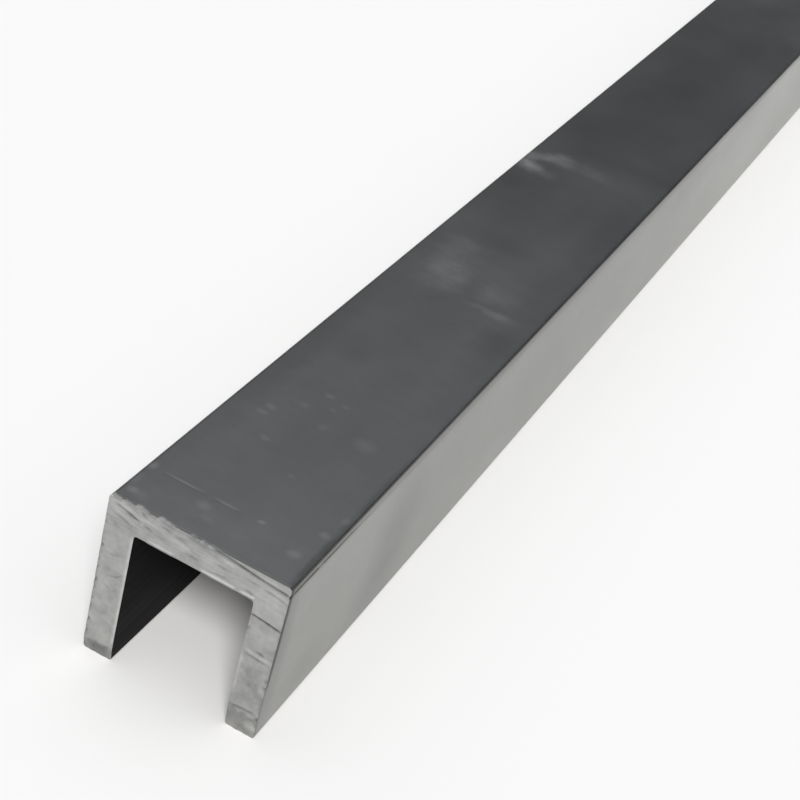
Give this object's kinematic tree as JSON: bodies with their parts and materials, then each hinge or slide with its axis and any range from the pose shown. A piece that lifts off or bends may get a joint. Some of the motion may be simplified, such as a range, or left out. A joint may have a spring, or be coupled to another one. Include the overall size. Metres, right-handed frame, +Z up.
{
  "type": "metal channel section",
  "caption": "Length of extruded aluminium U channel with square corners and sawn ends, lying web up on its toes; framing, edging and guide stock.",
  "frame": {"origin": "middle of the bar's length and width, on the plane of the two toes that it stands on", "axes": "+Z up from the toes to the web, +Y along the bar, +X across the section from the left leg to the right leg"},
  "size_m": [0.019, 0.3048, 0.0191],
  "materials": {
    "mill_aluminium": "mill finish, as extruded, with sawn ends"
  },
  "bodies": {
    "root": {"channel_bar": "mill_aluminium"}
  },
  "joints": []
}
